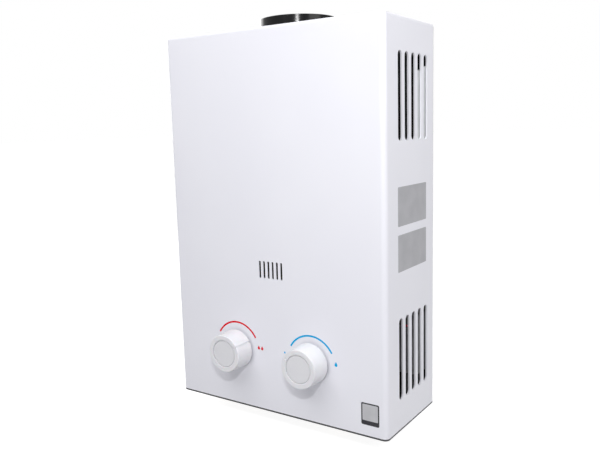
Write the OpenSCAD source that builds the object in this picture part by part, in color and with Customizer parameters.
// Gas water heater for a wall: it heats water as it flows and has a flue collar on top.
// Millimetres. X runs to the right, Z up, and the front faces -Y. The wall is the plane y = 0.
// The origin lies on the wall, midway between the four wall holes.

/* [Case] */
// Width of the case
case_w = 292; // [290:1:330]
// Height of the case with its bottom hem
case_h = 440; // [430:1:500]
// Depth of the case from the wall to the front face
case_d = 120; // [118:1:150]
// Thickness of the cover's sheet
sheet_t = 0.8; // [0.6:0.1:1.2]
// Radius of the upright edges at the front
corner_r = 6; // [4:0.5:9]
// Radius of the edges round the top
edge_r = 3; // [2:0.5:3.5]
// Width of the cover's bottom lip
lip_w = 7; // [6:0.5:9]
// Height of the hem that shows below the cover
hem_h = 2; // [1.6:0.1:4]
// Width of that hem
hem_w = 2; // [1.5:0.1:2.5]
// Thickness of the bottom pan
pan_t = 1; // [0.8:0.1:1.5]
// Thickness of the back plate
back_t = 1; // [0.8:0.1:1.6]
// Depth of the back plate's side flanges
flange_d = 15; // [8:1:17]
// Depth of those flanges beside the heat exchanger
wide_flange_d = 45; // [30:1:60]

/* [Wall holes] */
// Diameter of a wall hole
wall_hole_d = 8; // [6:0.5:10]
// Distance between the wall holes across
wall_hole_gap = 180; // [164:1:190]
// Distance from the top or the bottom of the case to the wall holes
wall_hole_in = 20; // [14:1:26]

/* [Louvres and slots] */
// Width of a louvre in the sides
louvre_w = 9.6; // [6:0.2:12]
// Length of a louvre
louvre_l = 91; // [60:1:110]
// Distance from one louvre to the next
louvre_pitch = 16; // [14:0.5:18]
// Louvres in a group
louvre_count = 5; // [3:1:5]
// Distance from the wall to the middle of a group
louvre_off = 54; // [52:1:60]
// Height of a group's middle above or below the middle of the case
louvre_up = 139.5; // [120:0.5:145]
// How far a louvre's flange reaches inwards
louvre_reach = 1; // [1:0.5:3]
// Width of a viewing slot
slot_w = 2.6; // [1.6:0.2:3.6]
// Length of a viewing slot
slot_l = 20; // [12:1:30]
// Distance from one viewing slot to the next
slot_pitch = 6; // [5:0.5:7]
// Viewing slots
slot_count = 6; // [4:1:8]
// Height of the viewing slots above the knobs
slot_up = 99.4; // [90:0.2:110]

/* [Flue] */
// Outside diameter of the flue collar
flue_d = 89; // [80:0.5:91]
// Wall of the flue collar
flue_t = 0.8; // [0.6:0.1:1.2]
// Height of the collar above the case
flue_rise = 14; // [10:1:40]
// Distance from the wall to the middle of the flue
flue_off = 50; // [49:0.5:54]
// How far the bead on the collar stands out
bead_out = 1.2; // [0.8:0.1:2]
// Width of the collar's foot
foot_w = 3; // [2:0.5:3.5]
// Space between the draught hood and the top of the case
hood_drop = 12; // [8:1:20]
// Height of the draught hood
hood_h = 60; // [50:1:80]
// Height of the hood's straight skirt
hood_skirt = 12; // [6:1:20]
// Depth of the draught hood
hood_d = 92; // [91:0.5:96]
// Width of the flat top of the hood
hood_top_w = 110; // [104:1:140]
// Sheet of the hood
hood_t = 0.8; // [0.6:0.1:1.2]

/* [Knobs] */
// Distance between the two knobs
knob_gap = 104.6; // [104:0.2:116]
// Height of the knobs above the bottom of the case
knob_up = 71; // [66:0.5:76]
// Diameter of a knob at its base
knob_d = 46; // [40:0.5:56]
// Diameter of a knob at its front
knob_front_d = 44; // [38:0.5:54]
// Height of a knob
knob_h = 24; // [20:0.5:30]
// Space between a knob and the front of the case
knob_stand = 3; // [1:0.5:6]
// Radius round a knob's front
knob_round = 1; // [1:0.5:3]
// Diameter of the cap in a knob's face
cap_d = 31.6; // [24:0.2:36]
// Thickness of that cap
cap_t = 1.2; // [0.8:0.1:2]
// How far the cap lies below the knob's face
cap_sunk = 0.4; // [0.4:0.1:1.5]
// Width of the slope round the cap's edge
cap_edge = 0.6; // [0.3:0.1:0.8]
// Width of the pointer groove
pointer_w = 1.2; // [1:0.1:3]
// Depth of the pointer groove
pointer_t = 1; // [0.4:0.1:1.2]
// Diameter of a spindle
spindle_d = 8; // [6:0.2:9]
// Diameter of a spindle's journal in its valve
journal_d = 10; // [9.2:0.2:12]

/* [Heat exchanger] */
// Width of the fire chamber
shell_w = 190; // [176:1:192]
// Depth of the fire chamber
shell_d = 76; // [72:1:78]
// Sheet of the fire chamber
shell_t = 0.8; // [0.6:0.1:1.2]
// Space between the back plate and the fire chamber
shell_space = 15; // [14:0.5:17]
// Width of the chamber's top flange beyond the hood
shelf_w = 2; // [1:0.5:2.5]
// Outside diameter of the copper tube
tube_d = 11; // [9:0.5:12]
// Wall of the copper tube
tube_t = 0.8; // [0.6:0.1:1.2]
// Distance from one fin tube to the next
tube_pitch = 14; // [13:0.5:15]
// Fin tubes
tube_count = 5; // [5:2:5]
// Bend of the coil and pipes along their middle
coil_bend = 12; // [10:0.5:14]
// Height of the lower coil turn above the burner frame
coil_up = 74; // [60:1:80]
// Distance between the coil turns
coil_pitch = 40; // [28:1:42]
// Height of the fin block
fin_h = 42; // [34:1:46]
// Thickness of a fin
fin_t = 0.5; // [0.3:0.1:0.8]
// Distance from one fin to the next
fin_pitch = 5.5; // [4.5:0.25:8]

/* [Burner] */
// Height of the burner frame
frame_h = 36; // [32:1:42]
// Sheet of the burner frame
frame_t = 1; // [0.8:0.1:1.4]
// Burner bars
bar_count = 9; // [7:1:10]
// Distance from one burner bar to the next
bar_pitch = 19.5; // [17:0.5:19.5]
// Width of a bar's head
bar_w = 14; // [10:0.5:15]
// Height of a bar's head
bar_head = 15; // [12:0.5:18]
// Diameter of a bar's mixing tube
mix_d = 11; // [9:0.5:12]
// Side of the square gas rail
rail_w = 12; // [10:0.5:13]
// Length of an injector
injector_l = 7; // [5:0.5:9]

/* [Valves] */
// Diameter of the valve barrels
barrel_d = 36; // [32:0.5:40]
// Diameter of the diaphragm flange
diaphragm_d = 60; // [54:0.5:62]
// Diameter of the bosses over the water and gas inlets
inlet_d = 28; // [26:0.5:30]
// Diameter of the bosses round the spindles
boss_d = 24; // [18:0.5:26]
// Diameter of the push rod
rod_d = 4; // [3:0.2:5]
// Travel of the push rod
rod_travel = 4; // [3:0.1:4.5]
// Outside diameter of the half inch pipe thread
thread_d = 20.95; // [20.8:0.05:21.1]
// Length of that thread
thread_l = 16; // [12:0.5:20]
// Width of a nipple's hexagon across its flats
hex_w = 27; // [24:0.5:28]
// Height of that hexagon
hex_h = 8; // [6:0.5:10]

/* [Electrics] */
// Width of the igniter box
igniter_w = 28; // [24:1:30]
// Depth of the igniter box
igniter_d = 36; // [30:1:40]
// Height of the igniter box
igniter_h = 70; // [56:1:76]
// Diameter of a cell
cell_d = 34.2; // [33.5:0.1:34.5]
// Length of a cell
cell_l = 61.5; // [60:0.1:62]
// Wall of the battery box
box_t = 1.2; // [1:0.1:1.6]
// Thickness of the battery lid
lid_t = 1.6; // [1.2:0.1:2.2]
// Diameter of the electrodes' ceramic
ceramic_d = 6; // [5:0.2:7]
// Diameter of the leads
lead_d = 3.2; // [2:0.2:3.6]

/* [Hidden] */
$fn = 64;

// Clearances
fit_gap = 0.3;
run_gap = 0.05;
tube_gap = 0.2;
room = 2;
through = 1;

// Places of the case
half_w = case_w / 2;
half_h = case_h / 2;
cover_z = hem_h - half_h;
front_y = -case_d;
inner_front = front_y + sheet_t;
wall_hole_x = wall_hole_gap / 2;
wall_hole_z = half_h - wall_hole_in;
cover_screw_r = 1.5;
cover_head_r = 2.7;
cover_head_t = 2;
cover_screw_l = 6;
air_slot_w = 6;
air_slot_l = 20;
air_pitch = 26;
air_in = 23;

// Places of the knobs and of what they turn
gas_x = -knob_gap / 2;
water_x = knob_gap / 2;
knob_z = knob_up - half_h;
gas_pointer = 30;
water_pointer = 150;
hub_d = spindle_d + 6;
hub_tail = 6;
hub_depth = 6;
knob_wall = 2;
flat_in = 1;

// Battery box along the bottom of the front, and the valves behind it
cell_gap = 0.4;
contact_space = 3;
box_l = 2 * cell_l + fit_gap + 2 * contact_space + 2 * box_t;
box_w = cell_d + 2 * cell_gap + 2 * box_t;
box_h = cell_d + 2 * cell_gap + box_t;
box_right = half_w - sheet_t - lip_w - fit_gap;
box_left = box_right - box_l;
box_front = inner_front + lip_w + fit_gap;
box_back = box_front + box_w;
valve_y = box_back + room + inlet_d / 2;
cell_z = cover_z + cell_d / 2 + cell_gap;

// Lid of the battery box, hinged along its rear edge
hinge_r = 1.2;
knuckle_r = 2.2;
hinge_y = box_back - box_t - knuckle_r - fit_gap;
hinge_z = cover_z - pan_t - lid_t / 2 + fit_gap;
ear_t = 3;
lid_left = box_left + box_t + ear_t + fit_gap;
lid_right = box_right - box_t - ear_t - fit_gap;
lid_front = box_front + box_t + fit_gap;

// Flue and hood
flue_r = flue_d / 2;
hood_top = half_h - hood_drop;
hood_z = hood_top - hood_h;
bead_up = 1.5;
bead_z = half_h + bead_up;
bead_half = 1;
foot_lap = 0.5;
notch_r = flue_r + foot_w - foot_lap;

// Heat exchanger
tube_r = tube_d / 2;
shell_front = -back_t - shell_space - shell_d;
shell_back = -back_t - shell_space;
shell_y = (shell_front + shell_back) / 2;
shell_r = coil_bend - tube_r - tube_gap;
shelf_t = shell_t;
hood_over = 3;
hood_half = shell_w / 2 + hood_over;
fin_drop = 3;
tube_z = hood_z - fin_h / 2 - fin_drop;
tube_out = 5;
tube_reach = shell_w / 2 + tube_out;
fin_space = 0.4;
fin_span = shell_w - 2 * shell_r;
coil_x = shell_w / 2 + tube_r + tube_gap;
coil_front = shell_front - tube_r - tube_gap;
coil_back = shell_back + tube_r + tube_gap;

// Burner
burner_up = 49;
frame_z = knob_z + burner_up;
frame_top = frame_z + frame_h;
ledge_w = 6;
bar_z = frame_z + frame_t;
bar_rise = 2;
bar_top = frame_top + bar_rise;
mix_z = bar_z + mix_d / 2;
mouth_wide = 1;
mouth_d = mix_d + mouth_wide;
mouth_gap = 5;
rail_back = shell_front - mouth_gap - injector_l;
rail_front = rail_back - rail_w;
injector_r = 3;
rail_end = 4;
rail_half = (bar_count - 1) / 2 * bar_pitch + injector_r + rail_end;
riser_bend = 8;
riser_rise = 5;

// Valves
barrel_r = barrel_d / 2;
inlet_r = inlet_d / 2;
outlet_r = 10;
foot_r = 7;
boss_reach = 30;
boss_front = valve_y - boss_reach;
journal_l = 12;
inlet_side = 10;
diaphragm_r = diaphragm_d / 2;
rubber_t = 1.5;
clamp_w = 9.5;
pocket_r = diaphragm_r - clamp_w;
water_reach = 38;
water_face = water_x - water_reach;
rubber_x = water_face - rubber_t;
water_tail = 12;
water_end = water_x + water_tail;
water_in_x = water_x + inlet_side;
water_out_in = 26;
water_out_x = water_face + water_out_in;
drain_in = 20;
drain_x = water_face + drain_in;
drain_r = 8;
water_foot_in = 20;
water_foot_out = 8;
plate_t = 2;
plate_x = rubber_x - plate_t;
plate_gap = 4;
plate_r = pocket_r - plate_gap;
cap_wall = 2.5;
cap_x = plate_x - rod_travel - room - cap_wall;
cap_flange = 5;
gland_l = 6;
gland_x = cap_x - gland_l;
gland_r = 6;
rod_r = rod_d / 2;
collar_t = 2;
collar_out = 6;
collar_r = rod_r + collar_out;
collar_x = gland_x - room - collar_t;
spring_l = 14.6;
gas_face = collar_x - spring_l;
gas_flange_out = 4;
gas_flange_r = barrel_r + gas_flange_out;
gas_flange_t = 6;
seat_in = 12;
seat_x = gas_face - seat_in;
chamber_r = 11;
disc_r = 9;
disc_t = 3;
spring_short = 19;
chamber_end = seat_x - disc_t - rod_travel - spring_short;
gas_tail = 24;
gas_end = chamber_end - gas_tail;
gas_foot_in = 18;
gas_foot_out = 10;
gas_in_x = gas_x - inlet_side;
gas_out_in = 14;
gas_out_x = gas_face - gas_out_in;
outlet_rise = 27;
outlet_z = knob_z + outlet_rise;
gas_rise = 23;
gas_out_z = knob_z + gas_rise;
inlet_drop = 47;
nipple_z = knob_z - inlet_drop;
nut_z = cover_z - pan_t;
screw_r = 1.8;
screw_head_r = 3;
screw_ring_r = diaphragm_r - screw_head_r;
screw_deep = 5.5;
pocket_t = 5;
dome_wall = 1.5;
drain_drop = 8;
drain_z = nipple_z - drain_drop;
solenoid_in = 5;
solenoid_r = barrel_r - solenoid_in;
solenoid_l = 24;
terminal_l = 4;

// Microswitch above the push rod
lever_t = 1.2;
lever_w = 4;
pivot_x = collar_x - fit_gap - lever_t / 2;
pivot_up = 19;
pivot_z = knob_z + pivot_up;
finger_gap = 2.5;
finger_z = knob_z + rod_r + finger_gap;
pin_r = 0.8;
switch_gap = 1.6;
switch_z = pivot_z + switch_gap;
switch_h = 10;
switch_half = 3.3;
bracket_t = 1;

// Pipes
pipe_gap = 7.3;
hot_x = -coil_x - tube_d - pipe_gap;
hot_y = shell_y + (tube_count - 1) / 2 * tube_pitch;
hot_drop = 4;
hot_end_z = nipple_z - hot_drop;
cold_bend = 10;
coil_z = frame_top + coil_up;
pipe_join = 18;
cold_end_z = coil_z - pipe_join;

// Electrics
flange_x = half_w - sheet_t - louvre_reach - fit_gap - back_t;
igniter_gap = 1;
igniter_x = flange_x - igniter_gap - igniter_w;
igniter_top = frame_z - 2 * room;
igniter_z = igniter_top - igniter_h;
igniter_front = -back_t - igniter_d;
socket_t = 3;
socket_front = igniter_front - socket_t;
electrode_x = 32;
electrode_up = 12;
electrode_z = frame_top + electrode_up;
electrode_plate_t = 1.3;
electrode_plate = shell_front - electrode_plate_t;
window_z = knob_z + slot_up;
window_half = 18;
window_up = 10;
window_t = 0.8;
lead_r = lead_d / 2;
lead_bend = 4;
lead_step = 10;
lead_gap = 1;
lead_y = inner_front + lead_r + lead_gap;
lead_join = 0.5;
ceramic_end = lead_y + lead_bend + lead_join;
socket_half = 12;
socket_z = igniter_top - socket_half;
socket_apart = 6;
lead_drop_y = socket_front - lead_bend - room;
battery_lead_up = 10;

// Small round and square stock, named by the axis it lies along
module rod_x(r, x0, x1, y, z) {
    translate([x0, y, z]) rotate([0, 90, 0]) cylinder(r = r, h = x1 - x0);
}

module rod_y(r, y0, y1, x, z) {
    translate([x, y0, z]) rotate([-90, 0, 0]) cylinder(r = r, h = y1 - y0);
}

module rod_z(r, z0, z1, x, y) {
    translate([x, y, z0]) cylinder(r = r, h = z1 - z0);
}

module block(low, high) {
    translate(low) cube(high - low);
}

// Slot with round ends, drawn upright round the origin
module obround(w, l) {
    translate([-w / 2, (w - l) / 2]) square([w, l - w]);
    for (end = [-1, 1])
        translate([0, end * (l - w) / 2]) circle(d = w);
}

module round_rect(w, d, r) {
    square([w - 2 * r, d], center = true);
    square([w, d - 2 * r], center = true);
    for (x = [-1, 1], y = [-1, 1])
        translate([x * (w / 2 - r), y * (d / 2 - r)]) circle(r = r);
}

// Tube that follows square corners with an even bend
function unit(v) = v / norm(v);
function across(d) = abs(d[2]) > 0.5 ? [1, 0, 0] : [0, 0, 1];

module turned(origin, x_dir, y_dir) {
    z_dir = cross(x_dir, y_dir);
    multmatrix([
        [x_dir[0], y_dir[0], z_dir[0], origin[0]],
        [x_dir[1], y_dir[1], z_dir[1], origin[1]],
        [x_dir[2], y_dir[2], z_dir[2], origin[2]],
        [0, 0, 0, 1]
    ]) children();
}

module bent_rod(route, bend, r) {
    last = len(route) - 1;
    for (i = [0 : last - 1]) {
        way = unit(route[i + 1] - route[i]);
        lead_in = i == 0 ? 0 : bend;
        lead_out = i == last - 1 ? 0 : bend;
        straight = norm(route[i + 1] - route[i]) - lead_in - lead_out;
        turned(route[i] + way * lead_in, across(way), cross(way, across(way)))
            cylinder(r = r, h = straight);
    }
    for (i = [1 : last - 1]) {
        from = unit(route[i] - route[i - 1]);
        to = unit(route[i + 1] - route[i]);
        turned(route[i] + (to - from) * bend, -to, from)
            rotate_extrude(angle = 90) translate([bend, 0]) circle(r = r);
    }
}

module bent_tube(route, bend, r, wall) {
    difference() {
        bent_rod(route, bend, r);
        bent_rod(route, bend, r - wall);
    }
}

// Coil spring along X from the origin, as one tube of six-sided rings
module spring(length, coil_r, wire_r, turns) {
    sides = 6;
    steps = 10 * turns;
    span = length - 2 * wire_r;
    points = [
        for (i = [0 : steps], k = [0 : sides - 1])
            let (turn = 360 * turns * i / steps, a = 360 * k / sides)
            [wire_r + span * i / steps + wire_r * sin(a),
             (coil_r + wire_r * cos(a)) * cos(turn),
             (coil_r + wire_r * cos(a)) * sin(turn)]
    ];
    rings = [
        for (i = [0 : steps - 1], k = [0 : sides - 1])
            let (a = i * sides + k, b = i * sides + (k + 1) % sides)
            each [[a, b, b + sides], [a, b + sides, a + sides]]
    ];
    start_cap = [for (k = [1 : sides - 2]) [0, k + 1, k]];
    end_cap = [for (k = [1 : sides - 2]) steps * sides * [1, 1, 1] + [0, k, k + 1]];
    polyhedron(points = points, faces = concat(rings, start_cap, end_cap));
}

// Case
module case_plan(inset, back) {
    r = corner_r - inset;
    w = half_w - inset;
    front = front_y + inset;
    translate([-w, front + r]) square([2 * w, back - front - r]);
    translate([r - w, front]) square([2 * (w - r), r]);
    for (side = [-1, 1])
        translate([side * (w - r), front + r]) circle(r = r);
}

module cover_block(inset, low, back) {
    r = edge_r - inset;
    w = half_w - inset;
    top = half_h - inset;
    front = front_y + inset;
    intersection() {
        translate([0, 0, low]) linear_extrude(top - low) case_plan(inset, back);
        rotate([90, 0, 0]) translate([0, 0, -back - through]) linear_extrude(case_d + back + 2 * through) {
            translate([-w, low]) square([2 * w, top - low - r]);
            translate([r - w, top - r]) square([2 * (w - r), r]);
            for (side = [-1, 1])
                translate([side * (w - r), top - r]) circle(r = r);
        }
        rotate([90, 0, 90]) translate([0, 0, -half_w]) linear_extrude(case_w) {
            translate([front, low]) square([back - front, top - low - r]);
            translate([front + r, low]) square([back - front - r, top - low]);
            translate([front + r, top - r]) circle(r = r);
        }
    }
}

module at_louvres(side) {
    first = -louvre_off - (louvre_count - 1) / 2 * louvre_pitch;
    for (group = [-1, 1], i = [0 : louvre_count - 1])
        translate([side * half_w, first + i * louvre_pitch, group * louvre_up])
            rotate([90, 0, 90]) children();
}

module at_cover_screws() {
    for (x = [gas_x, water_x])
        translate([x, front_y + hem_w + cover_head_r + fit_gap, 0]) children();
}

module front_cover() {
    louvre_end = sheet_t + louvre_reach;
    color("white") difference() {
        union() {
            difference() {
                cover_block(0, cover_z, -back_t);
                cover_block(sheet_t, cover_z + sheet_t, through);
                block([lip_w + sheet_t - half_w, inner_front + lip_w, cover_z - through],
                      [half_w - sheet_t - lip_w, through, cover_z + sheet_t + through]);
            }
            for (side = [-1, 1])
                at_louvres(side)
                    translate([0, 0, side > 0 ? -louvre_end : sheet_t / 2])
                        linear_extrude(louvre_end - sheet_t / 2)
                            obround(louvre_w + 2 * sheet_t, louvre_l + 2 * sheet_t);
        }
        for (side = [-1, 1])
            at_louvres(side)
                translate([0, 0, -louvre_end - through])
                    linear_extrude(2 * (louvre_end + through)) obround(louvre_w, louvre_l);
        for (i = [0 : slot_count - 1])
            translate([(i - (slot_count - 1) / 2) * slot_pitch, front_y + sheet_t + through, window_z])
                rotate([90, 0, 0]) linear_extrude(sheet_t + 2 * through) obround(slot_w, slot_l);
        for (x = [gas_x, water_x])
            rod_y(hub_d / 2 + room, front_y - through, inner_front + through, x, knob_z);
        rod_z(notch_r, half_h - sheet_t - through, half_h + through, 0, -flue_off);
        block([-notch_r, -flue_off, half_h - sheet_t - through], [notch_r, 0, half_h + through]);
        at_cover_screws()
            rod_z(cover_screw_r + fit_gap, cover_z - through, cover_z + sheet_t + through, 0, 0);
    }
}

module bottom_pan() {
    color("dimgray") difference() {
        translate([0, 0, -half_h]) linear_extrude(hem_h) case_plan(0, 0);
        translate([0, 0, -half_h - through])
            linear_extrude(hem_h - pan_t + through) case_plan(hem_w, -hem_w);
        for (x = [gas_in_x, water_in_x])
            rod_z(inlet_r, -half_h - through, cover_z + through, x, valve_y);
        rod_z(inlet_r, -half_h - through, cover_z + through, hot_x, valve_y);
        rod_z(drain_r + fit_gap, -half_h - through, cover_z + through, drain_x, valve_y);
        block([box_left + box_t, box_front + box_t, -half_h - through],
              [box_right - box_t, box_back - box_t, cover_z + through]);
        at_cover_screws()
            rod_z(cover_screw_r + fit_gap, -half_h - through, cover_z + through, 0, 0);
        for (i = [-2 : 2])
            air_slot(i * air_pitch, -air_in);
        for (i = [-4 : -1])
            air_slot(i * air_pitch - air_slot_w, front_y + air_in);
    }
}

module air_slot(x, y) {
    translate([x, y, -half_h - through]) rotate([0, 0, 90])
        linear_extrude(hem_h + 2 * through) obround(air_slot_w, air_slot_l);
}

module cover_screws() {
    color("silver") at_cover_screws() {
        rod_z(cover_screw_r, nut_z, cover_z + cover_screw_l, 0, 0);
        rod_z(cover_head_r, nut_z - cover_head_t, nut_z, 0, 0);
    }
}

module back_plate() {
    end_up = 10;
    wide_down = 32;
    wide_up = 41;
    slope = 30;
    top_slope = 13;
    low = cover_z + end_up;
    wide_low = tube_z - wide_down;
    wide_top = tube_z + wide_up;
    color("gainsboro") difference() {
        union() {
            block([-half_w, -back_t, cover_z], [half_w, 0, half_h - edge_r]);
            for (x = [-flange_x - back_t, flange_x])
                translate([x, 0, 0]) rotate([90, 0, 90]) linear_extrude(back_t) polygon([
                    [-back_t / 2, low],
                    [-back_t - flange_d, low],
                    [-back_t - flange_d, wide_low - slope],
                    [-back_t - wide_flange_d, wide_low],
                    [-back_t - wide_flange_d, wide_top],
                    [-back_t / 2, wide_top + top_slope]
                ]);
        }
        for (x = [-1, 1], z = [-1, 1])
            rod_y(wall_hole_d / 2, -back_t - through, through, x * wall_hole_x, z * wall_hole_z);
    }
}

// Flue
module flue_collar() {
    inner = flue_r - flue_t;
    rim = half_h + flue_rise;
    color("black") translate([0, -flue_off, 0]) rotate_extrude() polygon([
        [inner, hood_top],
        [flue_r + foot_w, hood_top],
        [flue_r + foot_w, hood_top + flue_t],
        [flue_r, hood_top + flue_t],
        [flue_r, bead_z - bead_half],
        [flue_r + bead_out, bead_z - bead_half / 2],
        [flue_r + bead_out, bead_z + bead_half / 2],
        [flue_r, bead_z + bead_half],
        [flue_r, rim],
        [inner, rim]
    ]);
}

module hood_outline(inset) {
    side = hood_half - inset;
    top_side = hood_top_w / 2 - inset;
    polygon([
        [-side, hood_z - inset],
        [side, hood_z - inset],
        [side, hood_z + hood_skirt],
        [top_side, hood_top - inset],
        [-top_side, hood_top - inset],
        [-side, hood_z + hood_skirt]
    ]);
}

module draught_hood() {
    back = -flue_off + hood_d / 2;
    color("lightgray") difference() {
        translate([0, back, 0]) rotate([90, 0, 0]) linear_extrude(hood_d) hood_outline(0);
        translate([0, back - hood_t, 0]) rotate([90, 0, 0])
            linear_extrude(hood_d - 2 * hood_t) hood_outline(hood_t);
        rod_z(flue_r - flue_t, hood_top - hood_t - through, hood_top + through, 0, -flue_off);
    }
}

// Heat exchanger
module shell_ring(inset) {
    translate([0, shell_y]) round_rect(shell_w - 2 * inset, shell_d - 2 * inset, shell_r - inset);
}

module at_tubes() {
    for (i = [0 : tube_count - 1])
        translate([0, shell_y + (i - (tube_count - 1) / 2) * tube_pitch, tube_z]) children();
}

module fire_chamber() {
    shelf_back = -flue_off + hood_d / 2 + shelf_w;
    shelf_front = -flue_off - hood_d / 2 - shelf_w;
    inner_side = shell_front + shell_t + through;
    color("peru") difference() {
        union() {
            translate([0, 0, frame_top]) linear_extrude(hood_z - frame_top) shell_ring(0);
            block([-hood_half - shelf_w, shelf_front, hood_z - shelf_t],
                  [hood_half + shelf_w, shelf_back, hood_z]);
        }
        translate([0, 0, frame_top - through])
            linear_extrude(hood_z - frame_top + 2 * through) shell_ring(shell_t);
        at_tubes()
            rod_x(tube_r + tube_gap, -shell_w, shell_w, 0, 0);
        block([-window_half, shell_front - through, window_z - window_up],
              [window_half, inner_side, window_z + window_up]);
        for (x = [-electrode_x, electrode_x])
            rod_y(ceramic_d / 2 + tube_gap, shell_front - through, inner_side, x, electrode_z);
    }
}

module chamber_brackets() {
    t = frame_t;
    top = 9;
    foot = 2 * top;
    end_in = 24;
    end = shell_w / 2 - end_in;
    up = 32;
    drop = 8;
    wall = -back_t;
    color("lightgray") for (z = [frame_top + up, tube_z - fin_h / 2 - drop])
        translate([-end, 0, z]) rotate([90, 0, 90]) linear_extrude(2 * end) polygon([
            [wall, -foot], [wall - t, -foot], [wall - t, -top], [shell_back, -top],
            [shell_back, top], [wall - t, top], [wall - t, foot], [wall, foot],
            [wall, top - t], [shell_back + t, top - t], [shell_back + t, t - top], [wall, t - top]
        ]);
}

module exchanger_fins() {
    last = floor(fin_span / 2 / fin_pitch);
    low = shell_front + shell_t + fin_space;
    high = shell_back - shell_t - fin_space;
    color("chocolate") for (i = [-last : last])
        translate([i * fin_pitch, 0, 0]) difference() {
            block([-fin_t / 2, low, tube_z - fin_h / 2], [fin_t / 2, high, tube_z + fin_h / 2]);
            at_tubes()
                rod_x(tube_r + run_gap, -fin_t, fin_t, 0, 0);
        }
}

module return_bend(side, y0, y1, r) {
    translate([side * tube_reach, (y0 + y1) / 2, tube_z]) rotate([0, 0, side * -90])
        rotate_extrude(angle = 180) translate([abs(y1 - y0) / 2, 0]) circle(r = r);
}

module tube_row(r) {
    first = shell_y - (tube_count - 1) / 2 * tube_pitch;
    at_tubes()
        rod_x(r, -tube_reach, tube_reach, 0, 0);
    return_bend(1, coil_front, first, r);
    for (i = [0 : tube_count - 2])
        return_bend(i % 2 == 0 ? -1 : 1, first + i * tube_pitch, first + (i + 1) * tube_pitch, r);
}

module exchanger_tubes() {
    color("peru") difference() {
        tube_row(tube_r);
        tube_row(tube_r - tube_t);
    }
}

module chamber_coil() {
    upper = coil_z + coil_pitch;
    riser_step = 2.6 * coil_bend;
    low_riser = coil_x - riser_step;
    high_riser = low_riser - riser_step;
    color("peru") bent_tube([
        [coil_x, valve_y, cold_end_z],
        [coil_x, valve_y, coil_z],
        [coil_x, coil_back, coil_z],
        [-coil_x, coil_back, coil_z],
        [-coil_x, coil_front, coil_z],
        [low_riser, coil_front, coil_z],
        [low_riser, coil_front, upper],
        [coil_x, coil_front, upper],
        [coil_x, coil_back, upper],
        [-coil_x, coil_back, upper],
        [-coil_x, coil_front, upper],
        [high_riser, coil_front, upper],
        [high_riser, coil_front, tube_z],
        [tube_reach, coil_front, tube_z]
    ], coil_bend, tube_r, tube_t);
}

module cold_pipe() {
    turn_z = outlet_z + cold_bend + room;
    color("peru") bent_tube([
        [water_out_x, valve_y, outlet_z],
        [water_out_x, valve_y, turn_z],
        [coil_x, valve_y, turn_z],
        [coil_x, valve_y, cold_end_z]
    ], cold_bend, tube_r, tube_t);
}

module hot_pipe() {
    straight = 13;
    jog_z = hot_end_z + coil_bend + straight;
    color("peru") bent_tube([
        [-tube_reach, hot_y, tube_z],
        [hot_x, hot_y, tube_z],
        [hot_x, hot_y, jog_z],
        [hot_x, valve_y, jog_z],
        [hot_x, valve_y, hot_end_z]
    ], coil_bend, tube_r, tube_t);
}

module sight_window() {
    over = 3;
    color("khaki") block([-window_half - over, shell_front - window_t, window_z - window_up - over],
                         [window_half + over, shell_front, window_z + window_up + over]);
}

// Burner
module at_bars() {
    for (i = [0 : bar_count - 1])
        translate([(i - (bar_count - 1) / 2) * bar_pitch, 0, 0]) children();
}

module burner_bar() {
    front = shell_front + frame_t + fin_space;
    back = shell_back - frame_t - fin_space;
    mix_wall = 1;
    mix_end = back - 14;
    port_in = 6;
    port_pitch = 7;
    port_w = 1.4;
    port_t = 4;
    difference() {
        union() {
            block([-bar_w / 2, front, bar_top - bar_head], [bar_w / 2, back, bar_top]);
            block([-bar_w / 6, front, bar_z], [bar_w / 6, back, bar_top]);
            rod_y(mix_d / 2, front, mix_end, 0, mix_z);
        }
        rod_y(mix_d / 2 - mix_wall, front - through, mix_end - 2 * mix_wall, 0, mix_z);
        for (y = [front + port_in : port_pitch : back - port_in])
            block([-bar_w, y, bar_top - port_t], [bar_w, y + port_w, bar_top + through]);
    }
}

module burner_bars() {
    color("silver") at_bars() burner_bar();
}

module burner_frame() {
    ledge_end = shell_w / 2 - shell_r;
    color("lightgray") difference() {
        union() {
            difference() {
                translate([0, 0, frame_z]) linear_extrude(frame_h) shell_ring(0);
                translate([0, 0, frame_z - through])
                    linear_extrude(frame_h + 2 * through) shell_ring(frame_t);
            }
            for (y = [shell_front + frame_t / 2, shell_back - frame_t / 2 - ledge_w])
                block([-ledge_end, y, frame_z], [ledge_end, y + ledge_w, frame_z + frame_t]);
        }
        at_bars()
            rod_y(mouth_d / 2, shell_front - through, shell_front + frame_t + tube_gap, 0,
                  bar_z + mouth_d / 2);
    }
}

module gas_rail() {
    low = mix_z - rail_w / 2;
    strap = 2;
    color("lightgray") {
        block([-rail_half, rail_front, low], [rail_half, rail_back, low + rail_w]);
        for (x = [-rail_half, rail_half - strap])
            block([x, rail_back - strap / 2, low], [x + strap, shell_front, low + rail_w]);
    }
}

module injectors() {
    neck = rail_back + injector_l - 2;
    color("goldenrod") at_bars() {
        rod_y(injector_r, rail_back, neck, 0, mix_z);
        rod_y(injector_r / 2, neck, rail_back + injector_l, 0, mix_z);
    }
}

module gas_riser() {
    rail_y = (rail_front + rail_back) / 2;
    turn_z = gas_out_z + riser_bend + riser_rise;
    color("silver") bent_tube([
        [gas_out_x, valve_y, gas_out_z],
        [gas_out_x, valve_y, turn_z],
        [gas_out_x, rail_y, turn_z],
        [gas_out_x, rail_y, mix_z - rail_w / 2]
    ], riser_bend, tube_r, tube_t);
}

// Gas valve
module spindle_bore(x) {
    rod_y(journal_d / 2 + run_gap, boss_front - through, boss_front + journal_l + room, x, knob_z);
}

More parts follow.
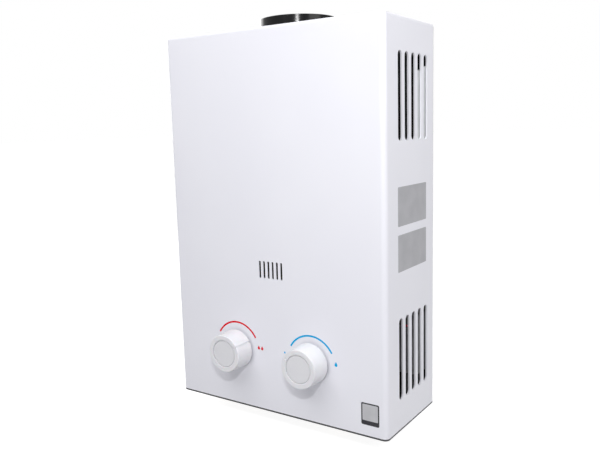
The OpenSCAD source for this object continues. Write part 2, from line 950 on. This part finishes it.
module gas_valve_body() {
    color("lightgray") difference() {
        union() {
            rod_x(barrel_r, gas_end, gas_face, valve_y, knob_z);
            rod_x(gas_flange_r, gas_face - gas_flange_t, gas_face, valve_y, knob_z);
            rod_y(boss_d / 2, boss_front, valve_y, gas_x, knob_z);
            rod_z(inlet_r, nipple_z, knob_z, gas_in_x, valve_y);
            rod_z(outlet_r, knob_z, gas_out_z, gas_out_x, valve_y);
            for (x = [gas_face - gas_foot_in, gas_end + gas_foot_out])
                rod_y(foot_r, valve_y, -back_t, x, knob_z);
        }
        rod_x(chamber_r, chamber_end, seat_x, valve_y, knob_z);
        rod_x(rod_r + run_gap, seat_x - through, gas_face + through, valve_y, knob_z);
        spindle_bore(gas_x);
    }
}

module spindle(x) {
    tip = front_y - knob_stand - knob_h + hub_depth;
    flat_end = front_y + hub_tail + 2;
    flange_back = boss_front - fit_gap;
    flange_front = flange_back - 2;
    color("goldenrod") difference() {
        union() {
            rod_y(journal_d / 2, flange_back, boss_front + journal_l, x, knob_z);
            rod_y(journal_d / 2 + 2, flange_front, flange_back, x, knob_z);
            rod_y(spindle_d / 2, tip, flange_front, x, knob_z);
        }
        block([x - spindle_d, tip - through, knob_z + spindle_d / 2 - flat_in],
              [x + spindle_d, flat_end, knob_z + spindle_d]);
    }
}

module gas_spindle() {
    spindle(gas_x);
}

module gas_valve_disc() {
    color("dimgray") rod_x(disc_r, seat_x - disc_t, seat_x, valve_y, knob_z);
}

module valve_spring() {
    color("silver") translate([chamber_end, valve_y, knob_z])
        spring(seat_x - disc_t - chamber_end, 6, 0.7, 6);
}

module safety_solenoid() {
    cap = gas_end - solenoid_l;
    color("gray") {
        rod_x(solenoid_r, cap, gas_end, valve_y, knob_z);
        rod_x(solenoid_r - terminal_l, cap - terminal_l, cap, valve_y, knob_z);
    }
}

// Water valve
module at_diaphragm_screws() {
    for (i = [0 : 5])
        translate([0, valve_y, knob_z]) rotate([30 + 60 * i, 0, 0])
            translate([0, screw_ring_r, 0]) children();
}

module water_valve_body() {
    flange_t = 8;
    color("goldenrod") difference() {
        union() {
            rod_x(diaphragm_r, water_face, water_face + flange_t, valve_y, knob_z);
            rod_x(barrel_r, water_face + flange_t - through, water_end, valve_y, knob_z);
            rod_y(boss_d / 2, boss_front, valve_y, water_x, knob_z);
            rod_z(inlet_r, nipple_z, knob_z, water_in_x, valve_y);
            rod_z(outlet_r, knob_z, outlet_z, water_out_x, valve_y);
            rod_z(drain_r, drain_z, knob_z, drain_x, valve_y);
            for (x = [water_face + water_foot_in, water_end - water_foot_out])
                rod_y(foot_r, valve_y, -back_t, x, knob_z);
        }
        rod_x(pocket_r, water_face - through, water_face + pocket_t, valve_y, knob_z);
        at_diaphragm_screws()
            rod_x(screw_r + run_gap, water_face - through, water_face + screw_deep + fit_gap, 0, 0);
        spindle_bore(water_x);
    }
}

module water_spindle() {
    spindle(water_x);
}

module diaphragm_cover() {
    color("goldenrod") difference() {
        union() {
            rod_x(diaphragm_r, rubber_x - cap_flange, rubber_x, valve_y, knob_z);
            rod_x(pocket_r + dome_wall, cap_x, rubber_x - cap_flange + through, valve_y, knob_z);
            rod_x(gland_r, gland_x, cap_x + through, valve_y, knob_z);
        }
        rod_x(pocket_r, cap_x + cap_wall, rubber_x + through, valve_y, knob_z);
        rod_x(rod_r + run_gap, gland_x - through, cap_x + cap_wall + through, valve_y, knob_z);
        at_diaphragm_screws()
            rod_x(screw_r + run_gap, rubber_x - cap_flange - through, rubber_x + through, 0, 0);
    }
}

module diaphragm() {
    color("black") difference() {
        rod_x(diaphragm_r, rubber_x, water_face, valve_y, knob_z);
        at_diaphragm_screws()
            rod_x(screw_r + run_gap, rubber_x - through, water_face + through, 0, 0);
    }
}

module diaphragm_plate() {
    color("silver") rod_x(plate_r, plate_x, rubber_x, valve_y, knob_z);
}

module diaphragm_screws() {
    color("silver") at_diaphragm_screws() {
        rod_x(screw_r, rubber_x - cap_flange, water_face + screw_deep, 0, 0);
        rod_x(screw_head_r, rubber_x - cap_flange - 3, rubber_x - cap_flange, 0, 0);
    }
}

module push_rod() {
    color("silver") {
        rod_x(rod_r, seat_x, plate_x, valve_y, knob_z);
        rod_x(collar_r, collar_x, collar_x + collar_t, valve_y, knob_z);
    }
}

module return_spring() {
    color("silver") translate([gas_face, valve_y, knob_z])
        spring(collar_x - gas_face, rod_r + 1.3, 0.5, 5);
}

module drain_plug() {
    head_r = drain_r + 2;
    head_z = nut_z - 9;
    wing_z = head_z - 6;
    wing_half = 1.5;
    color("black") {
        rod_z(drain_r - 1, nut_z, drain_z, drain_x, valve_y);
        rod_z(head_r, head_z, nut_z, drain_x, valve_y);
        block([drain_x - head_r, valve_y - wing_half, wing_z],
              [drain_x + head_r, valve_y + wing_half, head_z]);
    }
}

// Microswitch that the push rod works
module switch_bracket() {
    color("lightgray") block([gas_face, valve_y - switch_half - 1, knob_z + rod_r + 8],
                             [gas_face + bracket_t, valve_y + switch_half + 1, switch_z + switch_h]);
}

module microswitch() {
    front = valve_y - switch_half;
    back = valve_y + switch_half;
    ear = switch_half - lever_w / 2 - fit_gap;
    ear_half = 1.8;
    button_r = 0.8;
    color("dimgray") difference() {
        union() {
            block([gas_face + bracket_t, front, switch_z], [pivot_x + 8, back, switch_z + switch_h]);
            for (y = [front, back - ear])
                block([pivot_x - ear_half, y, pivot_z - ear_half],
                      [pivot_x + ear_half, y + ear, switch_z + through]);
            rod_z(button_r, switch_z - button_r, switch_z + through, pivot_x + 5, valve_y);
        }
        rod_y(pin_r + run_gap, front - through, back + through, pivot_x, pivot_z);
    }
}

module switch_lever() {
    front = valve_y - lever_w / 2;
    back = valve_y + lever_w / 2;
    color("silver") {
        block([pivot_x - lever_t / 2, front, finger_z], [pivot_x + lever_t / 2, back, pivot_z]);
        block([pivot_x, front, pivot_z - lever_t / 2], [pivot_x + 7, back, pivot_z + lever_t / 2]);
        rod_y(lever_t, front, back, pivot_x, pivot_z);
        rod_y(pin_r, valve_y - switch_half, valve_y + switch_half, pivot_x, pivot_z);
    }
}

// Connections below the case
module nipple(x, top) {
    end = nut_z - hex_h - thread_l;
    wall = 3;
    color("goldenrod") difference() {
        union() {
            rod_z(thread_d / 2, end, nut_z - hex_h / 2, x, valve_y);
            translate([x, valve_y, nut_z - hex_h]) rotate([0, 0, 30])
                cylinder(r = hex_w / sqrt(3), h = hex_h, $fn = 6);
            rod_z(inlet_r - 2, nut_z - hex_h / 2, top, x, valve_y);
        }
        rod_z(thread_d / 2 - wall, end - through, top - wall, x, valve_y);
    }
}

module gas_nipple() {
    nipple(gas_in_x, nipple_z);
}

module cold_nipple() {
    nipple(water_in_x, nipple_z);
}

module hot_nipple() {
    nipple(hot_x, hot_end_z);
}

// Electrics
module igniter_box() {
    color("dimgray") {
        block([igniter_x, igniter_front, igniter_z], [igniter_x + igniter_w, -back_t, igniter_top]);
        block([igniter_x + room, socket_front, socket_z - socket_half],
              [igniter_x + igniter_w - room, igniter_front, socket_z + socket_half]);
    }
}

module electrode(x) {
    nose = 8;
    inside = shell_front + nose;
    bend = 3;
    wire_l = 12;
    wire_r = 0.9;
    rim_t = 2;
    rim_out = 1.5;
    tip_y = inside + wire_l;
    color("white") {
        rod_y(ceramic_d / 2, ceramic_end, inside, x, electrode_z);
        rod_y(ceramic_d / 2 + rim_out, electrode_plate - rim_t, electrode_plate, x, electrode_z);
        bent_rod([
            [x, inside, electrode_z],
            [x, tip_y, electrode_z],
            [x, tip_y, bar_top + bend]
        ], bend, wire_r);
    }
}

module spark_electrode() {
    electrode(-electrode_x);
}

module flame_electrode() {
    electrode(electrode_x);
}

module electrode_brackets() {
    half_x = 8;
    half_z = 7;
    color("silver") for (x = [-electrode_x, electrode_x])
        difference() {
            block([x - half_x, electrode_plate, electrode_z - half_z],
                  [x + half_x, shell_front, electrode_z + half_z]);
            rod_y(ceramic_d / 2 + tube_gap, electrode_plate - through, shell_front + through, x,
                  electrode_z);
        }
}

module lead(start_x, side_x, drop) {
    run_z = electrode_z - drop;
    color("firebrick") bent_rod([
        [start_x, ceramic_end, electrode_z],
        [start_x, lead_y, electrode_z],
        [start_x, lead_y, run_z],
        [side_x, lead_y, run_z],
        [side_x, lead_drop_y, run_z],
        [side_x, lead_drop_y, socket_z],
        [side_x, socket_front, socket_z]
    ], lead_bend, lead_r);
}

module spark_lead() {
    lead(-electrode_x, igniter_x + igniter_w / 2 - socket_apart, 2 * lead_step);
}

module flame_lead() {
    lead(electrode_x, igniter_x + igniter_w / 2 + socket_apart, lead_step);
}

module battery_lead() {
    x = igniter_x + igniter_w / 2;
    end_y = (igniter_front - back_t) / 2;
    low = cover_z + battery_lead_up;
    color("red") bent_rod([
        [x, box_back, low],
        [x, end_y, low],
        [x, end_y, igniter_z]
    ], lead_bend, lead_r);
}

module overheat_switch() {
    drop = 60;
    z = tube_z - drop;
    half = 8;
    pad = 4;
    sensor_r = 7;
    sensor_l = 6;
    face = hot_x + tube_r + pad;
    color("dimgray") difference() {
        union() {
            block([hot_x, hot_y - half, z - half], [face, hot_y + half, z + half]);
            rod_x(sensor_r, face - through, face + sensor_l, hot_y, z);
        }
        rod_z(tube_r + run_gap, z - half - through, z + half + through, hot_x, hot_y);
    }
}

// Battery box, its cells and its lid
module battery_box() {
    top = cover_z + box_h;
    ear_top = cover_z + 4;
    color("dimgray") difference() {
        union() {
            difference() {
                block([box_left, box_front, cover_z], [box_right, box_back, top]);
                block([box_left + box_t, box_front + box_t, cover_z - through],
                      [box_right - box_t, box_back - box_t, top - box_t]);
            }
            for (x = [box_left + box_t + fit_gap, box_right - box_t - ear_t]) {
                block([x, hinge_y - knuckle_r, hinge_z - knuckle_r],
                      [x + ear_t - fit_gap, hinge_y + knuckle_r, ear_top]);
                block([x, hinge_y, cover_z], [x + ear_t - fit_gap, box_back - box_t / 2, ear_top]);
            }
        }
        rod_x(hinge_r + run_gap, box_left + box_t, box_right - box_t, hinge_y, hinge_z);
    }
}

module cells() {
    mid_y = (box_front + box_back) / 2;
    start = box_left + box_t + contact_space;
    button_l = 2.5;
    button_r = 4.5;
    color("darkslateblue") for (i = [0, 1])
        translate([start + i * (cell_l + fit_gap), mid_y, cell_z]) {
            rod_x(cell_d / 2, 0, cell_l - button_l, 0, 0);
            rod_x(button_r, cell_l - button_l, cell_l, 0, 0);
        }
}

module cell_contacts() {
    mid_y = (box_front + box_back) / 2;
    half = 8;
    color("silver") for (x = [box_left + box_t, box_right - box_t - contact_space])
        block([x, mid_y - half, cell_z - half], [x + contact_space, mid_y + half, cell_z + half]);
}

module battery_lid() {
    plate_top = hinge_z + lid_t / 2;
    color("dimgray") {
        block([lid_left, lid_front, plate_top - lid_t], [lid_right, hinge_y, plate_top]);
        rod_x(knuckle_r, lid_left, lid_right, hinge_y, hinge_z);
        rod_x(hinge_r, box_left + box_t + fit_gap, box_right - box_t - fit_gap, hinge_y, hinge_z);
    }
}

module lid_contact() {
    mid_x = (lid_left + lid_right) / 2;
    mid_y = (box_front + box_back) / 2;
    low = hinge_z + lid_t / 2;
    strip_t = 0.5;
    color("silver") block([mid_x - 10, mid_y - 3, low], [mid_x + 10, mid_y + 3, low + strip_t]);
}

// Knobs
module knob_section() {
    base_r = knob_d / 2;
    front_r = knob_front_d / 2;
    tail = hub_tail + knob_stand;
    cap_seat = knob_h - cap_sunk - cap_t;
    hollow_r = hub_d / 2 + 1;
    difference() {
        union() {
            polygon([
                [0, 0], [base_r, 0], [front_r, knob_h - knob_round],
                [front_r - knob_round, knob_h], [0, knob_h]
            ]);
            translate([front_r - knob_round, knob_h - knob_round]) circle(r = knob_round);
            translate([0, -tail]) square([hub_d / 2, tail + through]);
        }
        translate([0, cap_seat]) square([cap_d / 2 + run_gap, knob_h]);
        translate([hollow_r, -through])
            square([front_r - knob_wall - hollow_r, knob_h - hub_depth + through]);
    }
}

module at_knob(x) {
    translate([x, front_y - knob_stand, knob_z]) rotate([90, 0, 0]) children();
}

module knob(x, pointer) {
    face = front_y - knob_stand - knob_h;
    tail = front_y + hub_tail;
    color("white") difference() {
        at_knob(x) difference() {
            rotate_extrude() knob_section();
            rotate([0, 0, pointer]) {
                translate([cap_d / 2 + run_gap, -pointer_w / 2, knob_h - pointer_t])
                    cube([knob_d, pointer_w, knob_h]);
                translate([knob_front_d / 2 - pointer_t, -pointer_w / 2, -through])
                    cube([knob_d, pointer_w, 2 * knob_h]);
            }
        }
        difference() {
            rod_y(spindle_d / 2 + run_gap, face + hub_depth, tail + through, x, knob_z);
            block([x - spindle_d, face, knob_z + spindle_d / 2 - flat_in + run_gap],
                  [x + spindle_d, tail + 2 * through, knob_z + spindle_d]);
        }
    }
}

module knob_cap(x) {
    r = cap_d / 2;
    color("whitesmoke") at_knob(x)
        translate([0, 0, knob_h - cap_sunk - cap_t]) rotate_extrude() polygon([
            [0, 0], [r, 0], [r, cap_t - cap_edge], [r - cap_edge, cap_t], [0, cap_t]
        ]);
}

module gas_knob() {
    knob(gas_x, gas_pointer);
}

module gas_knob_cap() {
    knob_cap(gas_x);
}

module water_knob() {
    knob(water_x, water_pointer);
}

module water_knob_cap() {
    knob_cap(water_x);
}

back_plate();
front_cover();
bottom_pan();
cover_screws();
flue_collar();
draught_hood();
fire_chamber();
chamber_brackets();
exchanger_fins();
exchanger_tubes();
chamber_coil();
cold_pipe();
hot_pipe();
sight_window();
burner_bars();
burner_frame();
gas_rail();
injectors();
gas_riser();
gas_valve_body();
gas_spindle();
gas_valve_disc();
valve_spring();
safety_solenoid();
water_valve_body();
water_spindle();
diaphragm_cover();
diaphragm();
diaphragm_plate();
diaphragm_screws();
push_rod();
return_spring();
drain_plug();
microswitch();
switch_lever();
switch_bracket();
gas_nipple();
cold_nipple();
hot_nipple();
igniter_box();
spark_electrode();
flame_electrode();
electrode_brackets();
spark_lead();
flame_lead();
battery_lead();
overheat_switch();
battery_box();
cells();
cell_contacts();
battery_lid();
lid_contact();
gas_knob();
gas_knob_cap();
water_knob();
water_knob_cap();
